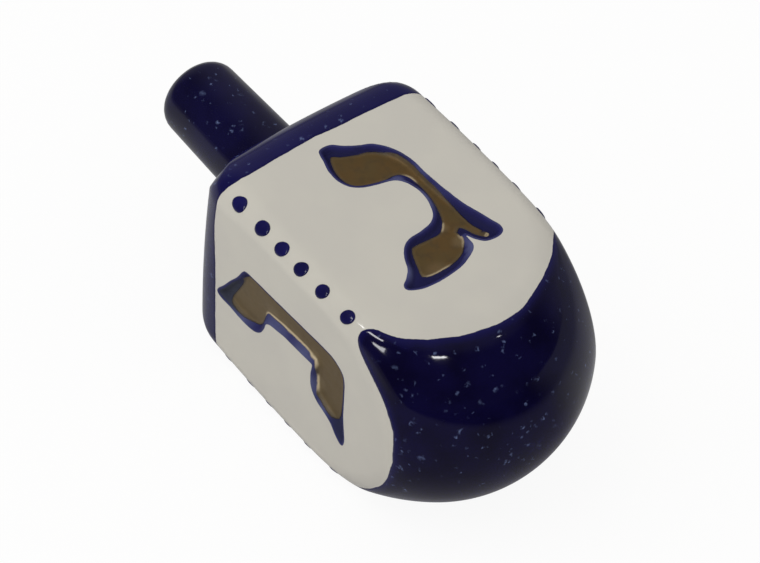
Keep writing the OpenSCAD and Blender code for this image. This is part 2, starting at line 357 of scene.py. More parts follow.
# Going round the axis from the upper face: gimel, he, shin and nun
MARKS = [
    ("gimel", GIMEL, GIMEL_GOLD, GIMEL_THIN_AND_LIT, GIMEL_PAINTED_HIGHLIGHTS), ("he", HE, None, HE_THIN_AND_LIT, HE_PAINTED_HIGHLIGHTS),
    ("shin", SHIN, None, SHIN_THIN_AND_LIT, SHIN_PAINTED_HIGHLIGHTS), ("nun", NUN, NUN_GOLD, NUN_THIN_AND_LIT, NUN_PAINTED_HIGHLIGHTS),
]

# %% [markdown]
# To press a mark in, each point of a face has to know how far inside the drawn line it is. That is
# its distance to the nearest stretch of the line, counted negative outside. The depth then comes
# from that one number: the lip is an arc, the wall a straight slope, and the floor begins with
# another arc. It is the section of a stamp that was pushed into soft clay.
# %% The depth of a mark
LIP_R, FLOOR_R = 0.9, 1.1
WALL_SLOPE = math.radians(62)
MARK_DEPTH = 1.25
lip_run = LIP_R * math.sin(WALL_SLOPE)
lip_drop = LIP_R * (1 - math.cos(WALL_SLOPE))
floor_run = FLOOR_R * math.sin(WALL_SLOPE)
floor_rise = FLOOR_R * (1 - math.cos(WALL_SLOPE))
wall_run = (MARK_DEPTH - lip_drop - floor_rise) / math.tan(WALL_SLOPE)
mark_run = lip_run + wall_run + floor_run
print("a mark's wall is", round(mark_run, 2), "mm wide")


def pressed_depth(inside):
    """Depth at a distance inside the line: lip arc, straight wall and floor arc, one after the other."""
    lip = LIP_R - np.sqrt(LIP_R ** 2 - np.clip(inside, 0, lip_run) ** 2)
    wall = lip_drop + (inside - lip_run) * math.tan(WALL_SLOPE)
    to_floor = np.clip(mark_run - inside, 0, floor_run)
    floor = MARK_DEPTH - FLOOR_R + np.sqrt(FLOOR_R ** 2 - to_floor ** 2)
    return np.where(inside < lip_run, lip, np.where(inside < lip_run + wall_run, wall, floor))


# %% Distance inside a drawn line
CURVE_STEPS = 16


def smooth_loop(points, step):
    """A closed smooth line: between two points the place is a cubic in t that leaves each of them along
    the chord of its neighbours. The line is then stepped off evenly."""
    t = np.linspace(0, 1, CURVE_STEPS, endpoint=False)[None, :, None]
    a, b, c, d = (np.roll(np.array(points), k, axis=0)[:, None, :] for k in (1, 0, -1, -2))
    curve = b + t / 2 * (c - a + t * (2 * a - 5 * b + 4 * c - d + t * (3 * (b - c) + d - a)))
    curve = curve.reshape(-1, 2)
    closed = np.vstack([curve, curve[:1]])
    run = np.append(0, np.cumsum(np.linalg.norm(np.diff(closed, axis=0), axis=1)))
    even = np.linspace(0, run[-1], round(run[-1] / step) + 1)[:-1]
    return np.column_stack([np.interp(even, run, closed[:, k]) for k in range(2)])


def inside_one(points, loop):
    """Distance to the nearest stretch of a closed line, positive where a ray crosses it an odd number
    of times."""
    start, end = loop, np.roll(loop, -1, 0)
    along = end - start
    gap = points[:, None, :] - start
    share = np.clip((gap * along).sum(-1) / (along ** 2).sum(-1), 0, 1)
    nearest = np.sqrt(((gap - share[..., None] * along) ** 2).sum(-1).min(1))
    spans = (start[:, 1] > points[:, None, 1]) != (end[:, 1] > points[:, None, 1])
    rise = np.where(along[:, 1] == 0, 1, along[:, 1])
    crossing = start[:, 0] + gap[..., 1] / rise * along[:, 0]
    odd = (spans & (points[:, None, 0] < crossing)).sum(1) % 2 == 1
    return np.where(odd, nearest, -nearest)


def inside_mark(points, loops):
    """The same for a mark of one or more strokes: the stroke that a point is deepest in counts."""
    return np.max([inside_one(points, loop) for loop in loops], axis=0)


# %% [markdown]
# The window is filled with triangles that follow the mark. Points are set in rings at fixed
# distances from the drawn line, close together where the wall bends, and sparse on the floor and
# the face. A triangulation joins them to the grid's own border points, so no seam opens.
# %% Points for a window
# All in mm, but for the shares of the floor's arc
RING_STEP, RING_TOLERANCE, LEAST_GAP = 0.3, 0.03, 0.13
OPEN_CELL, OPEN_MARGIN = 0.8, 0.4
PROBE = 0.05
LIP_LEVELS = [-0.25, 0.0, 0.16, 0.32, 0.47]
FLOOR_SHARES = [0, 0.2, 0.45, 0.72]
ring_levels = [*LIP_LEVELS, lip_run, *(lip_run + wall_run + floor_run * share for share in FLOOR_SHARES),
               mark_run, mark_run + OPEN_MARGIN]


def ring_points(loops):
    """Points of every ring: the line shifted along its normals, kept where the shift is the true
    distance. Points that share a small cell are thinned to the first."""
    kept = []
    for loop in loops:
        along = unit(np.roll(loop, -1, 0) - np.roll(loop, 1, 0))
        normal = np.column_stack([-along[:, 1], along[:, 0]])
        inward = normal * np.sign(inside_one(loop + PROBE * normal, loop))[:, None]
        for level in ring_levels:
            ring = loop + inward * level
            kept.append(ring[np.abs(inside_mark(ring, loops) - level) < RING_TOLERANCE])
    ring = np.vstack(kept)
    _, first = np.unique(np.round(ring / LEAST_GAP).astype(int), axis=0, return_index=True)
    return ring[np.sort(first)]


def open_points(loops):
    """A plain grid over the window, kept clear of its border and of the rings."""
    across = np.arange(-WINDOW_HALF + OPEN_CELL, WINDOW_HALF - OPEN_CELL / 2, OPEN_CELL)
    upward = np.arange(-WINDOW_FOOT + OPEN_CELL, -WINDOW_TOP - OPEN_CELL / 2, OPEN_CELL)
    grid = np.stack(np.meshgrid(across, upward), axis=-1).reshape(-1, 2)
    depth_in = inside_mark(grid, loops)
    return grid[(depth_in < ring_levels[0] - OPEN_MARGIN) | (depth_in > ring_levels[-1] + OPEN_MARGIN)]


# %% A face's own directions, and what its paint needs
def face_axes(face):
    """Right and outward of a face, as it is read with the stem up."""
    turn = face * QUARTER_TURN
    return ray_directions(0.0, turn + QUARTER_TURN), ray_directions(0.0, turn)


def on_face(flat, face):
    """Flat points of a face, lifted along its outward direction onto the skin."""
    right, outward = face_axes(face)
    start = flat[:, :1] * right - on_axis(flat[:, 1])
    return skin_points(start, np.broadcast_to(outward, start.shape))


def gold_inside(flat, inside, gold):
    """How far inside the gold a point is: by the gold's own line, or by an inset from the mark's."""
    return inside - HIDDEN_GOLD_INSET if gold is None else inside_one(flat, smooth_loop(gold, RING_STEP))


def spot_share(flat, spots):
    """How strongly some places show, 0 to 1. Each falls off as exp(-(distance / radius) squared)."""
    x, y = flat.T
    return np.max([np.exp(-((x - a) ** 2 + (y - b) ** 2) / r ** 2) for a, b, r in spots], axis=0)


# %% [markdown]
# The cobalt of the ball end and of the shoulder band was brushed on freehand, so its edge wavers.
# Each edge is a short table: the turn about the axis, in degrees from the upper face, and x in
# millimetres. What the paint needs is a point's distance past that line.
# %% Where the cobalt begins
BALL_EDGE = [
    (-135, 17.6), (-133.3, 17.9), (-131.7, 18.7), (-128.5, 21.3), (-125, 23.3), (-119.2, 25.7),
    (-113.7, 27.3), (-107.4, 28.4), (-100, 29), (-93.3, 29.5), (-86, 29.3), (-79.8, 29.1), (-74.7, 28.7),
    (-69.4, 27.5), (-64.7, 26), (-61.5, 24.6), (-58.2, 22.6), (-55, 20.05), (-51.7, 17.4), (-49.6, 16.1),
    (-47.8, 15.45), (-46.1, 15.25), (-44, 15.55), (-42.6, 16.2), (-41.2, 17.2), (-40, 19.1),
    (-38.6, 20.9), (-36.5, 22.3), (-34.2, 23.4), (-30.9, 25), (-26, 26.4), (-20.9, 27.75), (-15.6, 28.6),
    (-8.1, 29.35), (-2, 29.75), (4, 29.7), (9.9, 29.4), (13.5, 28.95), (17.4, 28.1), (22.4, 27),
    (28.2, 25.55), (33.6, 23.5), (38.4, 21.3), (41.5, 19.1), (43.2, 17.9), (45.1, 16.8), (46.5, 16),
    (48, 15.7),
]
BAND_EDGE = [
    (-135, -25.7), (-128.7, -25.9), (-122, -26.4), (-112, -26.8), (-102, -27.1), (-92, -27.35),
    (-82.5, -27.75), (-73, -28.15), (-66.9, -28.55), (-62, -28.7), (-54, -28.5), (-47.8, -28.4),
    (-44.7, -28), (-41.5, -27.5), (-37, -27.3), (-28.9, -27.55), (-16, -27.8), (-3.6, -27.95),
    (0, -27.8), (9, -27.5), (21.8, -27.35), (31, -27.1), (37.5, -26.8), (40.7, -26.5), (46, -26.2),
]
FAR_OFF = -6.0
EDGE_SAMPLES, EDGE_SMOOTHINGS = 720, 3


def brushed_edge(points):
    """A brushed line all the way round, as x at even turns. The hidden faces mirror the two that show,
    and each smoothing weighs a point twice and its neighbours once."""
    turn, x = np.array(points).T
    shown = turn[-1] - turn[0]
    mirrored = turn[-1] + (turn[-1] - turn) * (360 - shown) / shown
    even = np.arange(EDGE_SAMPLES) * 360 / EDGE_SAMPLES - 180
    line = np.interp(even, np.append(turn, mirrored), np.append(x, x), period=360)
    for _ in range(EDGE_SMOOTHINGS):
        line = (np.roll(line, 1) + 2 * line + np.roll(line, -1)) / 4
    return even, line


def past_edge(points, edge):
    """Distance past a brushed line: the step in x over the root of 1 + slope squared."""
    even, line = brushed_edge(edge)
    slope = np.gradient(line, np.radians(even))
    turn = np.degrees(np.arctan2(points[:, 1], points[:, 2]))
    reach = np.maximum(np.hypot(points[:, 1], points[:, 2]), 1)
    step = points[:, 0] - np.interp(turn, even, line, period=360)
    return step / np.hypot(1, np.interp(turn, even, slope, period=360) / reach)


def cobalt_inside(points):
    """How far inside the cobalt a point is: above the shoulder band's edge, or past the ball end's."""
    inside = np.maximum(-past_edge(points, BAND_EDGE), past_edge(points, BALL_EDGE))
    return np.clip(inside, FAR_OFF, -FAR_OFF)


# %% [markdown]
# Now the body is put together: the grid without its four windows, the two poles, and the filled
# windows. What the paint needs is kept on the points as attributes, because a distance reads
# smoothly between points where a painted yes or no would show the triangles.
# %% Filling a window
MERGE_GAP = 1e-5


def window_border():
    """Grid indices round a window, anticlockwise as the face is read, for the first face."""
    left, right = corner_steps, corner_steps + window_columns
    top, foot = first_window_row, first_window_row + window_rows
    across, down = np.arange(left, right), np.arange(top, foot)
    return np.concatenate([
        foot * column_count + across, down[::-1] * column_count + column_count + right,
        top * column_count + across[::-1] + 1, down * column_count + left,
    ])


def fill_window(face, grid_points, first_new):
    """Triangles of one window, with the points that are new in it and what the paint needs to know."""
    name, strokes, gold, thin_and_lit, painted_highlight = MARKS[face]
    loops = [smooth_loop(stroke, RING_STEP) for stroke in strokes]
    border = window_border() + face * column_count // 4
    right, outward = face_axes(face)
    edge_points = grid_points[border]
    edge_flat = np.column_stack([edge_points @ right, -edge_points[:, 0]])
    flat = np.vstack([ring_points(loops), open_points(loops)])
    everything = np.vstack([edge_flat, flat])
    rim = np.arange(len(border))
    rim_edges = np.column_stack([rim, np.roll(rim, -1)]).tolist()
    _, _, faces, origin, _, _ = delaunay_2d_cdt(everything.tolist(), rim_edges, [], 1, MERGE_GAP)
    source = np.array([first[0] for first in origin])
    triangles = source[np.array(faces)]
    inside = inside_mark(flat, loops)
    points = on_face(flat, face) - pressed_depth(inside)[:, None] * outward
    numbers = np.concatenate([border, first_new + np.arange(len(flat))])
    print("mark", name, len(flat), "points,", len(triangles), "triangles")
    paint = [inside, gold_inside(flat, inside, gold), spot_share(flat, thin_and_lit), spot_share(flat, painted_highlight)]
    return numbers[triangles], points, paint


# %% The glazed body
def grid_faces():
    """The body's quads and the fans at its poles, without the quads that lie in a window."""
    quads, fans = ring_faces(row_count, column_count)
    row, column = np.divmod(np.arange(len(quads)), column_count)
    in_row = (row >= first_window_row) & (row < first_window_row + window_rows)
    step = column % (column_count // 4) - corner_steps
    in_column = (step >= 0) & (step < window_columns)
    return [quads[~(in_row & in_column), ::-1], np.roll(fans[:, ::-1], -1, axis=1)]


def new_piece(name, points, faces, attributes=None):
    """A smooth mesh object from points in the frame, with one number per point for each attribute."""
    mesh = bpy.data.meshes.new(name)
    mesh.from_pydata(points.tolist(), [], [face for group in faces for face in group.tolist()])
    mesh.polygons.foreach_set("use_smooth", np.ones(len(mesh.polygons), bool))
    for label, values in (attributes or {}).items():
        mesh.attributes.new(label, "FLOAT", "POINT").data.foreach_set("value", values.astype(np.float32))
    mesh.update()
    piece = bpy.data.objects.new(name, mesh)
    bpy.context.scene.collection.objects.link(piece)
    print(name, len(mesh.vertices), "points,", sum(len(group) for group in faces), "faces")
    return piece


def make_body():
    """The whole body: grid, poles and windows as one closed skin."""
    direction = ray_directions(row_lean[:, None], column_turn)
    grid = skin_points(on_axis(row_start)[:, None], direction).reshape(-1, 3)
    poles = on_axis(np.array([-FLANK, BALL_LENGTH]))
    points, faces = [grid, poles], grid_faces()
    count = len(grid) + len(poles)
    paint = [np.array([[FAR_OFF], [FAR_OFF], [0.0], [0.0]]).repeat(count, axis=1)]
    for face in range(4):
        new_faces, new_points, new_paint = fill_window(face, grid, count)
        points.append(new_points)
        faces.append(new_faces)
        paint.append(np.maximum(new_paint, FAR_OFF))
        count += len(new_points)
    points = np.vstack(points)
    mark, gold, thin_and_lit, painted_highlight = np.hstack(paint)
    paint = {"cobalt_mm": cobalt_inside(points), "mark_mm": mark, "gold_mm": gold,
             "thin_and_lit": thin_and_lit, "painted_highlight": painted_highlight}
    return new_piece("glazed_body", into_frame(points), faces, paint)


glazed_body = make_body()

# %% [markdown]
# The stem is a plain turned bar, so it is a profile carried round the axis. A small fillet of
# glaze runs out on the top, where the stem was luted in, and its rim lies just under the skin.
# %% The stem
STEM_R, STEM_TIP_R = 9.2, 8.55
STEM_END_R = 4.2
GLAZE_FILLET = 1.1
RIM_DEPTH, RIM_INNER_R = 0.5, 0.4
STEM_SPOKES, SHAFT_STEPS, BEND_STEPS = 96, 27, 8
CAP_SHARES = np.array([0.75, 0.5, 0.25, 0.05])


def stem_profile():
    """Half section from the sunk rim, over the glaze fillet and along the taper, round the end."""
    bend = np.linspace(0, QUARTER_TURN, BEND_STEPS + 1)
    foot = np.column_stack([-FLANK - GLAZE_FILLET * (1 - np.sin(bend)),
                            STEM_R + GLAZE_FILLET * (1 - np.cos(bend))])[::-1]
    shaft_end = STEM_TIP + STEM_END_R
    shaft_x = np.linspace(-FLANK - GLAZE_FILLET, shaft_end, SHAFT_STEPS + 1)[1:]
    share = (shaft_x + FLANK) / (shaft_end + FLANK)
    shaft = np.column_stack([shaft_x, STEM_R + (STEM_TIP_R - STEM_R) * share])
    tip = np.column_stack([shaft_end - STEM_END_R * np.sin(bend),
                           STEM_TIP_R - STEM_END_R * (1 - np.cos(bend))])
    cap = np.column_stack([np.full(len(CAP_SHARES), STEM_TIP), (STEM_TIP_R - STEM_END_R) * CAP_SHARES])
    sunk = [[-FLANK + RIM_DEPTH, RIM_INNER_R], [-FLANK + RIM_DEPTH, STEM_R + GLAZE_FILLET]]
    return np.vstack([sunk, foot, shaft, tip[1:], cap])


def carry_round(profile, spokes):
    """A profile carried round the axis: reach r at turn t lies at y = r sin t and z = r cos t."""
    turn = np.linspace(0, WHOLE_TURN, spokes, endpoint=False)
    x, reach = np.broadcast_to(profile[:, :1], (len(profile), spokes)), profile[:, 1:]
    points = np.stack([x, reach * np.sin(turn), reach * np.cos(turn)], axis=-1).reshape(-1, 3)
    return np.vstack([points, on_axis(profile[[0, -1], 0])]), ring_faces(len(profile), spokes)


stem_points, stem_faces = carry_round(stem_profile(), STEM_SPOKES)
glazed_stem = new_piece("glazed_stem", into_frame(stem_points), stem_faces)

# %% [markdown]
# Each dot was one drop of thick glaze set on the edge by hand, so no two are alike: they differ in
# size and outline, and the steps between them grow towards the ball. A dot is a dome on a polar
# grid that is laid onto the skin, and its rim and base are sunk, so that it never floats.
# %% The rows of dots
# Place along the axis and radius in mm, then how oval and how three-cornered the dot is, as shares
# of the radius, each with the angle in degrees at which it is widest
DOTS = [
    (-23.4, 1.74, 0.05, 20, 0.035, 70), (-15.8, 1.72, 0.07, 30, 0.03, 10), (-9.4, 1.62, 0.09, 40, 0.0, 0),
    (-3.2, 1.60, 0.10, 45, 0.012, 60), (3.6, 1.56, 0.08, 45, 0.02, 20), (11.3, 1.54, 0.09, 50, 0.012, 0),
]
DOT_HEIGHT = 0.3
DOT_SINK, BASE_SINK = 0.3, 1.2
DOT_RINGS, DOT_SPOKES = 10, 28
DOT_STRAY = 0.3


def make_dots(name, turn, shift, seed):
    """Six domes on one long edge. Height over the skin is H times the root of (1 - share to the 5th),
    where share runs from 0 in the middle to 1 at the rim, so a dot is flat with a steep rim. A row
    with a seed is shifted along its edge, and its dots stray a little from the table."""
    chance = np.random.default_rng(seed)
    place, radius, oval, oval_turn, corners, corner_turn = np.array(DOTS).T[:, :, None]
    count = len(place)
    if seed:
        place = place + shift + chance.uniform(-DOT_STRAY, DOT_STRAY, (count, 1))
        oval_turn = oval_turn + chance.uniform(0, 360, (count, 1))
        corner_turn = corner_turn + chance.uniform(0, 360, (count, 1))
    spoke = np.linspace(0, WHOLE_TURN, DOT_SPOKES, endpoint=False)
    rim = radius * (1 + oval * np.cos(2 * (spoke - np.radians(oval_turn)))
                    + corners * np.cos(3 * (spoke - np.radians(corner_turn))))
    share = np.append(np.sin(np.linspace(0, QUARTER_TURN, DOT_RINGS))[1:], 1.0)
    height = np.append(DOT_HEIGHT * np.sqrt(np.clip(1 - share[:-1] ** 5, 0, 1)), -DOT_SINK)
    reach = share[None, :, None] * rim[:, None, :]
    along = place[:, :, None] + reach * np.cos(spoke)
    middle = skin_points(on_axis(place[:, 0]), ray_directions(0.0, np.full(count, turn)))
    edge_reach = np.linalg.norm(middle[:, 1:], axis=1)[:, None, None]
    skin = skin_points(on_axis(along), ray_directions(0.0, turn + reach * np.sin(spoke) / edge_reach))
    domes = skin + skin_normals(skin) * height[None, :, None, None]
    upward = skin_normals(middle)
    poles = np.stack([middle + DOT_HEIGHT * upward, middle - BASE_SINK * upward], axis=1)
    points = np.concatenate([domes.reshape(count, -1, 3), poles], axis=1)
    number = (np.arange(count) * points.shape[1])[:, None, None]
    faces = [(np.roll(group[:, ::-1], 1, axis=1) + number).reshape(-1, group.shape[1])
             for group in ring_faces(DOT_RINGS, DOT_SPOKES)]
    return new_piece(name, into_frame(points.reshape(-1, 3)), faces)


# Each row's name, its turn about the axis in degrees, its shift in mm and its seed
DOT_ROWS = [
    ("gimel_he", 50.1, -0.8, 3), ("he_shin", 135, 0, 5), ("shin_nun", 223.8, 0, 7),
    ("nun_gimel", 315, 0, 0),
]
dot_pieces = {name: make_dots("glazed_dots_" + name, math.radians(turn), shift, seed)
              for name, turn, shift, seed in DOT_ROWS}

# %% [markdown]
# Shader maths is easier to read as ordinary expressions. This small class holds one output socket.
# Adding or multiplying two of them makes the Math node for it, and the method node makes any other.
# %% Writing shader maths in Python
class Wire:
    """An output socket of a material, which takes part in expressions."""

    def __init__(self, tree, socket=None):
        self.tree = tree
        self.socket = socket

    def node(self, kind, settings=None, inputs=None, out=0):
        """Makes a node: its settings first, then its input sockets, as plain values or as wires."""
        made = self.tree.nodes.new("ShaderNode" + kind)
        for label, value in (settings or {}).items():
            setattr(made, label, value)
        for label, value in (inputs or {}).items():
            self.feed(made.inputs[label], value)
        return Wire(self.tree, made.outputs[out])

    def feed(self, socket, value):
        """Links a wire to a socket, or sets a plain value on it."""
        if isinstance(value, Wire):
            self.tree.links.new(value.socket, socket)
        else:
            socket.default_value = value

    def maths(self, operation, *values):
        """What a Math node makes of the values."""
        return self.node("Math", {"operation": operation}, dict(enumerate(values)))

    def vectors(self, operation, inputs, out=0):
        """What a Vector Math node makes of this wire and the other inputs."""
        return self.node("VectorMath", {"operation": operation}, {0: self, **inputs}, out)

    def __add__(self, other):
        return self.maths("ADD", self, other)

    __radd__ = __add__

    def __sub__(self, other):
        return self.maths("SUBTRACT", self, other)

    def __rsub__(self, other):
        return self.maths("SUBTRACT", other, self)

    def __mul__(self, other):
        return self.maths("MULTIPLY", self, other)

    __rmul__ = __mul__

    def larger(self, other):
        """The larger of both."""
        return self.maths("MAXIMUM", self, other)

    def along(self, direction):
        """How far this place lies, or this direction points, along another direction."""
        return self.vectors("DOT_PRODUCT", {1: direction}, out=1)

    def smooth(self, low, high):
        """0 below low and 1 above high, with a soft step between."""
        return self.node("MapRange", {"interpolation_type": "SMOOTHSTEP"},
                         {"Value": self, "From Min": low, "From Max": high})

    def colour(self, other, share):
        """This colour with a share of the other mixed in."""
        return self.node("Mix", {"data_type": "RGBA"}, {0: share, 6: self, 7: other}, out=2)


# %% Colours, noise and materials
GLAZE_IOR = 1.5


def rgb(red, green, blue):
    """A colour as it looks on a screen, from 0 to 255, as the light values that a shader works with."""
    share = np.array([red, green, blue]) / 255
    light = np.where(share <= 0.04045, share / 12.92, ((share + 0.055) / 1.055) ** 2.4)
    return (*light.tolist(), 1.0)


def new_material(name, paint):
    """A material whose shader takes what paint() works out from the object's own coordinates."""
    material = bpy.data.materials.new(name)
    material.use_nodes = True
    tree = material.node_tree
    shader = next(node for node in tree.nodes if node.type == "BSDF_PRINCIPLED")
    place = Wire(tree).node("TexCoord", out=3)
    for label, value in {"IOR": GLAZE_IOR, **paint(place)}.items():
        place.feed(shader.inputs[label], value)
    return material


def noise(place, size_mm, detail=2.0):
    """Cloudy noise whose patches are about size_mm across."""
    return place.node("TexNoise", None, {"Vector": place, "Scale": 1 / (size_mm * MM), "Detail": detail})


def plain(place, colour):
    """A constant colour that can take part in mixing."""
    return place.node("Mix", {"data_type": "RGBA"}, {0: 0.0, 6: colour, 7: colour}, out=2)


def attribute(place, label):
    """What the body's points hold under a label."""
    return place.node("Attribute", {"attribute_name": label}, None, out=2)


def bump(place, height_mm):
    """A normal that makes the surface look as if it stood up by height_mm."""
    return place.node("Bump", None, {"Strength": 1.0, "Distance": MM, "Height": height_mm})


# %% [markdown]
# Cobalt glaze is nearly black where it lies thick, and turns a clear blue where it is thin. Grains
# of the white underglaze float up in it as pale blue specks, in loose clusters. Two sizes of cell
# noise place the specks, and a cloudy noise gathers them.
# %% Cobalt glaze
DEEP_COBALT = rgb(8, 5, 36)
MID_COBALT = rgb(15, 12, 56)
CLEAR_COBALT = rgb(22, 20, 88)
SPECK_BLUE = rgb(128, 146, 194)
# Noise that gathers thick glaze into pools and specks into clusters: patch size in mm, and detail
POOLS, CLUSTERS = (9.0, 3.0), (6.0, 2.0)
POOL_STARTS, POOL_SHARE = (0.35, 0.68), 0.6
# Specks: size and cell in mm, the share of cells that hold one, and how strongly they show
LARGE_SPECKS, LARGE_SHARE, LARGE_STRENGTH = (1.2, 3.0), 0.38, 0.85
FINE_SPECKS, FINE_SHARE, FINE_STRENGTH = (0.75, 1.6), 0.3, 0.7
# Noise that makes a speck's outline ragged, how strongly, and its soft rim, all in sizes of the speck
RAGGED_NOISE, RAGGEDNESS, RIM = (0.8, 1.3), 2.2, (-0.55, 0.3)
SMALLEST_SPECK, FAINTEST_SPECK = 0.4, 0.25
# A cell holds a speck where its random number and some of the cluster noise add up to enough
CLUSTER_PULL, ENOUGH = 0.5, (1.22, 1.28)


def speck_layer(place, size_mm, cell_mm, gather, share):
    """Specks of about size_mm in cells of cell_mm: a share of the cells holds one, more where gather is
    high. Each has its own size and brightness, a ragged outline and a soft rim."""
    size = size_mm / cell_mm
    cells = place.vectors("SCALE", {"Scale": 1 / (cell_mm * MM)})
    push_x, push_z = (noise(place, size_mm * part) - 0.5 for part in RAGGED_NOISE)
    ragged = place.node("CombineXYZ", None, {0: push_x, 1: push_z, 2: push_x - push_z})
    bent = cells.vectors("ADD", {1: ragged.vectors("SCALE", {"Scale": RAGGEDNESS * size})})
    distance, cell = (place.node("TexVoronoi", None, {"Vector": bent, "Scale": 1.0}, k) for k in (0, 1))
    chosen, growth, bright = (place.node("SeparateColor", None, {"Color": cell}, k) for k in range(3))
    radius = (growth * growth * (1 - SMALLEST_SPECK) + SMALLEST_SPECK) * (size / 2)
    present = (chosen + gather * CLUSTER_PULL).smooth(ENOUGH[0] - share, ENOUGH[1] - share)
    grain = 1 - (distance - radius).smooth(RIM[0] * size, RIM[1] * size)
    return grain * present * (bright * (1 - FAINTEST_SPECK) + FAINTEST_SPECK)


def cobalt(place, near_edge, fine_share):
    """Colour and speck mask of the cobalt glaze. near_edge is 1 where the glaze is thin, and fine_share
    is the share of the small cells that hold a speck."""
    pooled = noise(place, *POOLS).smooth(*POOL_STARTS)
    gather = noise(place, *CLUSTERS)
    colour = plain(place, DEEP_COBALT).colour(MID_COBALT, pooled * POOL_SHARE)
    large = speck_layer(place, *LARGE_SPECKS, gather, LARGE_SHARE)
    fine = speck_layer(place, *FINE_SPECKS, gather, fine_share)
    return colour.colour(CLEAR_COBALT, near_edge), (large * LARGE_STRENGTH).larger(fine * FINE_STRENGTH)


# %% The stem's glaze
STEM_THINNESS, STEM_FINE_SHARE, STEM_SPECK_STRENGTH = 0.04, 0.42, 1.25
RIPPLES, RIPPLE_HEIGHT, SPECK_HEIGHT = (5.0, 1.0), 0.04, 0.02
STEM_ROUGHNESS = 0.07


def stem_paint(place):
    """Cobalt all over, with more fine specks than on the body, in a surface that ripples a little."""
    colour, specks = cobalt(place, STEM_THINNESS, STEM_FINE_SHARE)
    ripple = noise(place, *RIPPLES) * RIPPLE_HEIGHT + specks * SPECK_HEIGHT
    return {"Base Color": colour.colour(SPECK_BLUE, specks * STEM_SPECK_STRENGTH),
            "Roughness": STEM_ROUGHNESS, "Normal": bump(place, ripple)}


glazed_stem.data.materials.append(new_material("stem_glaze", stem_paint))

# %% [markdown]
# The dots are the same cobalt, but a thick drop holds no specks. A faint change from drop to drop
# is enough.
# %% Dot glaze
DROP_DARK, DROP_CLEAR = rgb(15, 13, 64), rgb(20, 18, 80)
DROP_TONES, DROP_CLEARS = (4.0, 2.0), (0.3, 0.7)
DROP_ROUGHNESS = 0.15


def dot_paint(place):
    """Clear cobalt drops."""
    tone = noise(place, *DROP_TONES).smooth(*DROP_CLEARS)
    return {"Base Color": plain(place, DROP_DARK).colour(DROP_CLEAR, tone), "Roughness": DROP_ROUGHNESS}


dot_glaze = new_material("dot_glaze", dot_paint)
for dots in dot_pieces.values():
    dots.data.materials.append(dot_glaze)

# %% [markdown]
# The body carries all the finishes: cream glaze, the blue of the marks, the gold on their floors and
# the cobalt of both ends. Each begins where its own distance attribute says, so each gets a function
# of its own. The cream is almost even, with cooler clouds and a few faint specks of dirt.
# %% Cream glaze
CREAM, CREAM_COOL, CREAM_SPECK = rgb(205, 202, 192), rgb(202, 199, 190), rgb(150, 132, 118)
CREAM_CLOUDS, DIRT_CLUSTERS = (14.0, 3.0), (8.0, 1.0)
DIRT, DIRT_SHARE, DIRT_STRENGTH = (0.3, 2.6), 0.28, 0.2
# Where cloudy noise turns into a patch: on half of the surface, or on less of it
PATCHES, FEW_PATCHES = (0.35, 0.65), (0.45, 0.75)


def cream_paint(place):
    """Cream, with cool clouds and dirt."""
    cream = plain(place, CREAM).colour(CREAM_COOL, noise(place, *CREAM_CLOUDS).smooth(*PATCHES))
    dirt = speck_layer(place, *DIRT, noise(place, *DIRT_CLUSTERS), DIRT_SHARE)
    return cream.colour(CREAM_SPECK, dirt * DIRT_STRENGTH)


# %% [markdown]
# The blue in a mark was brushed on by hand. It pools dark in patches, and it darkens at the foot of the
# wall as painted shade, though not on the nun face. It is thin and milky on the lip, and at the listed
# places it is painted lighter, partly where it was brushed thin and partly as painted light where the
# wall faces the light. On the nun face a grey veil covers it at both ends.
# %% The blue of the marks
THIN_AND_LIT_BLUE, MARK_BLUE, MARK_POOL_AND_SHADE = rgb(80, 85, 128), rgb(17, 15, 88), rgb(4, 4, 64)
VEIL = rgb(50, 55, 66)
# Where the nun face and the veils at its mark's two ends begin and are full, in metres from the origin
NUN_SIDE, VEIL_TOP, VEIL_FOOT = (0.018, 0.022), (0.004, 0.009), (0.023, 0.026)
# The same for mm inside the mark: the painted shade at the wall's foot, the end of the wall, the end of
# the lip, and the veil
CORNER_SHADE_STARTS, WALL_ENDS, LIP_ENDS, VEIL_STARTS = (0.6, 1.3), (0.7, 1.4), (0.1, 0.5), (0.2, 0.6)
DRY_AND_LIT_STARTS = (0.7, 0.95)
BRUSH_POOLS, BRUSH_STREAKS = (4.0, 2.0), (2.5, 3.0)
# How strongly each of them shows
CORNER_SHADE_SHARE, BRUSH_POOL_SHARE, LIP_SHARE, VEIL_SHARE, VEIL_FOOT_SHARE = 0.85, 0.6, 0.25, 0.85, 0.5
THIN_AND_LIT_CLEARS, STREAK_SHARE, LEAST_STREAK = 0.7, 0.5, 0.55


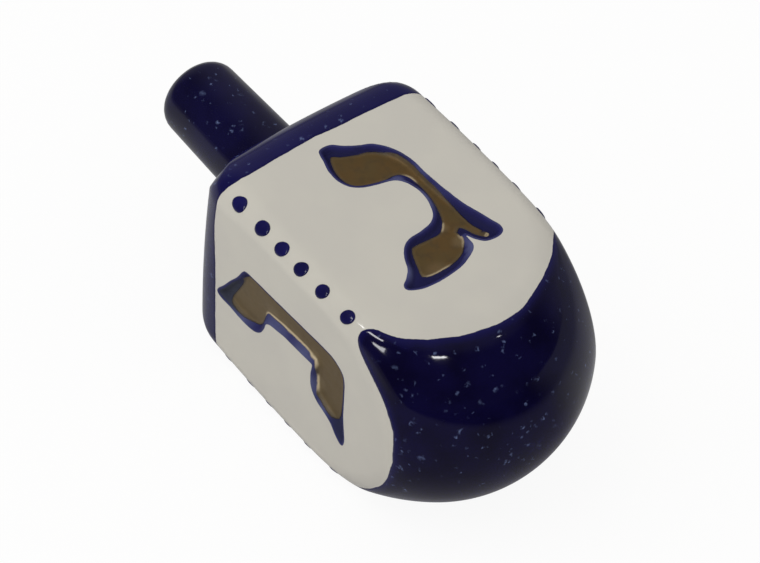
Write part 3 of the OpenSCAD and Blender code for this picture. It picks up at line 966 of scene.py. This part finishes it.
def blue_paint(place, in_mark, along, on_nun):
    """Blue by the distance inside the mark, with painted shade at the wall's foot, painted light at the
    thin and lit places, and cloudy noise.
    """
    thin_and_lit = attribute(place, "thin_and_lit")
    # Painted shade: darker blue at the foot of the wall, left off the nun face, which sees more light
    corners = in_mark.smooth(*CORNER_SHADE_STARTS) * CORNER_SHADE_SHARE * (1 - on_nun)
    pooled_and_shaded = (noise(place, *BRUSH_POOLS).smooth(*FEW_PATCHES) * BRUSH_POOL_SHARE).larger(corners)
    blue = plain(place, MARK_BLUE).colour(MARK_POOL_AND_SHADE, pooled_and_shaded * (1 - thin_and_lit * THIN_AND_LIT_CLEARS))
    # Painted light: on the nun face, which sees more light, the lighter blue may cover the whole mark
    on_wall = (1 - in_mark.smooth(*WALL_ENDS)).larger(on_nun).larger(thin_and_lit.smooth(*DRY_AND_LIT_STARTS))
    thin_and_lit = thin_and_lit * (noise(place, *BRUSH_STREAKS) * STREAK_SHARE + LEAST_STREAK) * on_wall
    lip = 1 - in_mark.smooth(*LIP_ENDS)
    blue = blue.colour(THIN_AND_LIT_BLUE, thin_and_lit.larger(lip * LIP_SHARE))
    veiled = (0 - along).smooth(*VEIL_TOP).larger(along.smooth(*VEIL_FOOT) * VEIL_FOOT_SHARE)
    return blue.colour(VEIL, veiled * in_mark.smooth(*VEIL_STARTS) * on_nun * VEIL_SHARE)


# %% [markdown]
# The gold is a thin fired film. It is dull and warm in patches, has painted shade along its own edge, and
# has painted highlights in a few places along that edge. The nun face sees more light, so its gold is
# painted paler.
# %% The gold of the marks
GOLD, GOLD_WARM, GOLD_DULL = rgb(113, 93, 56), rgb(118, 92, 52), rgb(99, 83, 56)
GOLD_PALE, GOLD_EDGE_SHADE, GOLD_PAINTED_HIGHLIGHT = rgb(126, 109, 80), rgb(74, 62, 42), rgb(216, 197, 160)
GOLD_METAL = 0.55
WARM_CLOUDS, DULL_CLOUDS = (5.0, 3.0), (2.2, 3.0)
# Where the painted shade and the painted highlight along the gold's edge end, in mm inside the gold
EDGE_SHADE_ENDS, HIGHLIGHT_RIM_ENDS = (0.0, 0.7), (0.2, 0.6)
PAINTED_HIGHLIGHT_STARTS, HIGHLIGHT_GLOW_STARTS = (0.35, 0.8), (0.4, 1.0)
# How strongly each of them shows, and what the nun face adds to the painted highlight on the edge
DULL_SHARE, EDGE_SHADE_SHARE, HIGHLIGHT_RIM_SHARE, NUN_HIGHLIGHT_RIM_SHARE, HIGHLIGHT_GLOW_SHARE = 0.6, 0.9, 0.45, 0.3, 0.1


def gold_paint(place, in_gold, on_nun):
    """Gold by the distance inside its edge, with painted shade along it, painted highlights at the listed
    places, and cloudy noise.
    """
    gold = plain(place, GOLD).colour(GOLD_WARM, noise(place, *WARM_CLOUDS).smooth(*PATCHES))
    gold = gold.colour(GOLD_DULL, noise(place, *DULL_CLOUDS).smooth(*FEW_PATCHES) * DULL_SHARE)
    gold = gold.colour(GOLD_PALE, on_nun)
    # Painted shade: the gold darkens along its own edge, where it meets the foot of the wall
    gold = gold.colour(GOLD_EDGE_SHADE, (1 - in_gold.smooth(*EDGE_SHADE_ENDS)) * EDGE_SHADE_SHARE)
    # Painted highlights: pale gold along the edge at the listed places, and a faint pale glow over them
    painted_highlight = attribute(place, "painted_highlight")
    rim = painted_highlight.smooth(*PAINTED_HIGHLIGHT_STARTS) * (1 - in_gold.smooth(*HIGHLIGHT_RIM_ENDS))
    rim = rim * (on_nun * NUN_HIGHLIGHT_RIM_SHARE + HIGHLIGHT_RIM_SHARE)
    return gold.colour(GOLD_PAINTED_HIGHLIGHT, rim + painted_highlight.smooth(*HIGHLIGHT_GLOW_STARTS) * HIGHLIGHT_GLOW_SHARE)


# %% [markdown]
# Now the finishes are laid over each other. A little noise on every distance gives the edges the
# slight waver of a brush. Thick glaze stands up from the cream, so the same distances also feed the
# bump, and the marks are rougher than the glaze around them.
# %% The body's glazes together
# Distances past its line, in mm, between which each finish sets in
COBALT_STARTS, MARK_STARTS, GOLD_STARTS = (-0.05, 0.05), (-0.16, -0.06), (-0.1, 0.12)
# The same for the clear rim of the cobalt, its first specks, its thick glaze and the gold's metal
THIN_ENDS, SPECKS_START, GLAZE_RISES, METAL_STARTS = (0.0, 2.0), (0.2, 0.8), (-0.25, 0.6), (0.0, 0.8)
BAND_STARTS = (0.009, 0.013)
EDGE_THINNESS, BAND_THINNESS = 0.5, 0.45
# Noise that sways the lines, how far in mm, and how much of that the marks and the gold take
LONG_WAVER, SHORT_WAVER, LONG_SWAY, SHORT_SWAY = (3.0, 2.0), (0.7, 1.0), 0.3, 0.12
MARK_SWAY, GOLD_SWAY = 0.5, 0.9
# Noise in the surface, and heights in mm
SWELLS, GRAIN, DENTS = (7.0, 1.0), (0.9, 3.0), (6.0, 1.0)
GLAZE_HEIGHT, SWELL_HEIGHT, GRAIN_HEIGHT, DENT_HEIGHT = 0.16, 0.05, 0.03, 0.5
# The cream's roughness, and what the cobalt, the marks and the worn gold change in it
CREAM_ROUGHNESS, COBALT_SMOOTHS, MARK_ROUGHENS = 0.1, 0.03, 0.75
WORN, WORN_SMOOTHS, GOLD_SMOOTHS = (1.2, 3.0), 0.2, 0.25


def body_paint(place):
    """Cream, marks, gold and cobalt on the one body."""
    waver = (noise(place, *LONG_WAVER) - 0.5) * LONG_SWAY
    waver = waver + (noise(place, *SHORT_WAVER) - 0.5) * SHORT_SWAY
    in_cobalt = attribute(place, "cobalt_mm") + waver
    in_mark = attribute(place, "mark_mm") + waver * MARK_SWAY
    in_gold = attribute(place, "gold_mm") + waver * GOLD_SWAY
    along, across = (place.node("SeparateXYZ", None, {"Vector": place}, out=k) for k in (0, 1))
    on_nun = (0 - across).smooth(*NUN_SIDE)
    on_band = (0 - along).smooth(*BAND_STARTS)
    cobalt_mask, mark_mask = in_cobalt.smooth(*COBALT_STARTS), in_mark.smooth(*MARK_STARTS)
    gold_mask = in_gold.smooth(*GOLD_STARTS)

    gold = gold_paint(place, in_gold, on_nun)
    mark = blue_paint(place, in_mark, along, on_nun).colour(gold, gold_mask)
    near_edge = ((1 - in_cobalt.smooth(*THIN_ENDS)) * EDGE_THINNESS).larger(on_band * BAND_THINNESS)
    sea, specks = cobalt(place, near_edge, FINE_SHARE)
    sea = sea.colour(SPECK_BLUE, specks * in_cobalt.smooth(*SPECKS_START))
    colour = cream_paint(place).colour(mark, mark_mask).colour(sea, cobalt_mask)

    metal = gold_mask * mark_mask
    thick = in_cobalt.smooth(*GLAZE_RISES) * GLAZE_HEIGHT + noise(place, *SWELLS) * SWELL_HEIGHT
    thick = thick + metal * (noise(place, *GRAIN) * GRAIN_HEIGHT + noise(place, *DENTS) * DENT_HEIGHT)
    rough = CREAM_ROUGHNESS - cobalt_mask * COBALT_SMOOTHS + mark_mask * MARK_ROUGHENS
    rough = rough - metal * (noise(place, *WORN) * WORN_SMOOTHS + GOLD_SMOOTHS)
    return {"Base Color": colour, "Metallic": metal * in_gold.smooth(*METAL_STARTS) * GOLD_METAL,
            "Roughness": rough, "Normal": bump(place, thick)}


glazed_body.data.materials.append(new_material("body_glaze", body_paint))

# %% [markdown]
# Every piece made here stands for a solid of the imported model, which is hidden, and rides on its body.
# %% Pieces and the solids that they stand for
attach(glazed_body, "root")
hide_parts("body")
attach(glazed_stem, "root")
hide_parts("stem")
for name, dots in dot_pieces.items():
    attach(dots, "root")
    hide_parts("dots_" + name)

# %% [markdown]
# The floor is a white table. The camera sees most of its white as a glow of its own, so it stays
# white in the picture, and the rest is white paint, which takes the object's shadow. In reflections
# the table is grey near the object and darker further off, darkest to the right, and fair on the
# window's side and behind, because dark glaze shows its surroundings much dimmer than they are.
# %% The table
TABLE_HALF = 3.0
TABLE_GLOW = 0.925
TABLE_PAINT = (0.95, 0.95, 0.95, 1)
NEAR_GREY, MID_GREY, FAR_GREY = (0.27, 0.27, 0.29, 1), (0.14, 0.135, 0.15, 1), (0.01, 0.01, 0.012, 1)
FAIR_GREY = (0.4, 0.4, 0.4, 1)
WHITE = (1.0, 1.0, 1.0, 1.0)
WINDOW_WAY, RIGHT_WAY = (-0.9, -0.45, 0.0), (1.0, 0.6, 0.0)
# Where the reflected table changes, in metres from the origin, but BEHIND_STARTS is a sine
MID_STARTS, DARK_STARTS, WINDOW_STARTS = (0.025, 0.07), (0.135, 0.205), (-0.01, 0.08)
WINDOW_FADES, BEHIND_STARTS, BEHIND_FADES = (0.12, 0.4), (0.34, 0.68), (0.07, 0.2)
BEHIND_SHARE, BEHIND_LOSS = 0.75, 0.35


def make_table():
    """A large square under the object."""
    corners = np.array([[-1, -1, 0], [1, -1, 0], [1, 1, 0], [-1, 1, 0]]) * TABLE_HALF
    table = new_piece("table", corners, [np.array([[0, 1, 2, 3]])])
    material = bpy.data.materials.new("table_white")
    material.use_nodes = True
    tree = material.node_tree
    tree.nodes.clear()
    start = Wire(tree)
    camera_ray, glossy_ray, through_ray = (start.node("LightPath", out=k) for k in (0, 3, 6))
    place = start.node("NewGeometry", out=0)
    distance = place.vectors("LENGTH", {}, out=1)
    grey = plain(start, NEAR_GREY).colour(MID_GREY, distance.smooth(*MID_STARTS))
    grey = grey.colour(FAR_GREY, place.along(RIGHT_WAY).smooth(*DARK_STARTS))
    windowed = place.along(WINDOW_WAY).smooth(*WINDOW_STARTS) * (1 - distance.smooth(*WINDOW_FADES))
    sine = place.maths("DIVIDE", place.along((0.0, 1.0, 0.0)), distance)
    behind = sine.smooth(*BEHIND_STARTS) * (BEHIND_SHARE - distance.smooth(*BEHIND_FADES) * BEHIND_LOSS)
    grey = grey.colour(FAIR_GREY, windowed.larger(behind))
    paint = start.node("BsdfDiffuse", None, {"Color": TABLE_PAINT})
    seen = plain(start, WHITE).colour(grey, glossy_ray)
    glow = start.node("Emission", None, {"Color": seen, "Strength": 1.0})
    direct = camera_ray.larger(through_ray) * TABLE_GLOW
    mixed = start.node("MixShader", None, {0: direct.larger(glossy_ray), 1: paint, 2: glow})
    start.feed(tree.nodes.new("ShaderNodeOutputMaterial").inputs["Surface"], mixed)
    table.data.materials.append(material)
    return table


table = make_table()

# %% [markdown]
# The light is plain: an even sky for the paint and white for the camera. In reflections the room is
# dark behind the camera, dim at the ceiling and on the left, and lighter and bluish behind the
# object. The small bright marks on the glaze are ceiling tubes, so they are narrow lamps that only
# reflections see. They stand where the line of sight, mirrored at those marks, leads. One large
# soft lamp gives the forms a little side light, and it stays out of the reflections, where it would
# cover the dark glaze.
# %% Sky and lamps
SKY = (0.60, 0.59, 0.58, 1)
ROOM_DARK, ROOM_FAIR = (0.02, 0.02, 0.022, 1), (0.21, 0.205, 0.25, 1)
ROOM_CEILING = (0.13, 0.13, 0.13, 1)
BEHIND_WAY, LEFT_WAY, UP = (-0.66, 0.75, 0.0), (-0.85, -0.5, 0.0), (0.0, 0.0, 1.0)
# Where the ceiling, the left and the room behind set in, as cosines, and how strongly the left does
CEILING_STARTS, LEFT_STARTS, BACK_STARTS, LEFT_SHARE = (0.6, 1.0), (0.2, 0.9), (0.2, 0.8), 0.45
MIDDLE = np.array([0.0, 0.0, 0.03])
SOFT_LAMP_PLACE, SOFT_LAMP_SIDE, SOFT_LAMP_POWER = np.array([-0.3, -0.5, 1.0]), 0.9, 5.0
TUBE_DISTANCE = 1.2


def make_sky():
    """The world: sky for diffuse rays, the room for glossy rays, white for the camera."""
    world = bpy.data.worlds.new("studio")
    bpy.context.scene.world = world
    world.use_nodes = True
    tree = world.node_tree
    tree.nodes.clear()
    start = Wire(tree)
    camera_ray, glossy_ray = (start.node("LightPath", out=k) for k in (0, 3))
    direction = start.node("TexCoord", out=0)
    left = direction.along(LEFT_WAY).smooth(*LEFT_STARTS) * LEFT_SHARE
    dim = direction.along(UP).smooth(*CEILING_STARTS).larger(left)
    room = plain(start, ROOM_DARK).colour(ROOM_CEILING, dim)
    room = room.colour(ROOM_FAIR, direction.along(BEHIND_WAY).smooth(*BACK_STARTS))
    colour = plain(start, SKY).colour(room, glossy_ray).colour(WHITE, camera_ray)
    light = start.node("Background", None, {"Color": colour, "Strength": 1.0})
    start.feed(tree.nodes.new("ShaderNodeOutputWorld").inputs["Surface"], light)


def lamp(name, place, along, size, power, diffuse=True, glossy=True):
    """An area lamp at a place in metres that faces the object, with its first side along a direction."""
    light = bpy.data.lights.new(name, "AREA")
    light.shape = "RECTANGLE"
    light.size, light.size_y = size
    light.energy = power
    lit = bpy.data.objects.new(name, light)
    back = unit(place - MIDDLE)
    side = unit(along - back * (along @ back))
    set_down(lit, place, side, np.cross(back, side), back)
    lit.visible_diffuse = diffuse
    lit.visible_glossy = glossy
    lit.visible_camera = False


def tube(name, first, last, width, brightness):
    """A narrow lamp from one direction to another, each as elevation and azimuth in degrees. Its power
    is pi times its brightness and its area, as that of any surface that glows evenly."""
    elevation, azimuth = np.radians(np.array([first, last])).T
    ends = MIDDLE + TUBE_DISTANCE * np.column_stack([
        np.cos(elevation) * np.cos(azimuth), np.cos(elevation) * np.sin(azimuth), np.sin(elevation)])
    run = ends[1] - ends[0]
    length = np.linalg.norm(run)
    power = np.pi * brightness * length * width
    lamp(name, ends.mean(axis=0), run, (length, width), power, diffuse=False)


make_sky()
lamp("soft_lamp", SOFT_LAMP_PLACE, np.cross(UP, SOFT_LAMP_PLACE - MIDDLE),
     (SOFT_LAMP_SIDE, SOFT_LAMP_SIDE), SOFT_LAMP_POWER, glossy=False)
tube("upper_tube", (41.4, -103), (46, -74), 0.09, 13)
tube("lower_tube", (28, -84), (29, -66), 0.09, 11)
tube("near_light", (36, -38), (39, -28), 0.05, 22)
tube("far_light", (57, 37), (59, 39), 0.03, 18)

bpy.context.scene.view_settings.view_transform = "Standard"
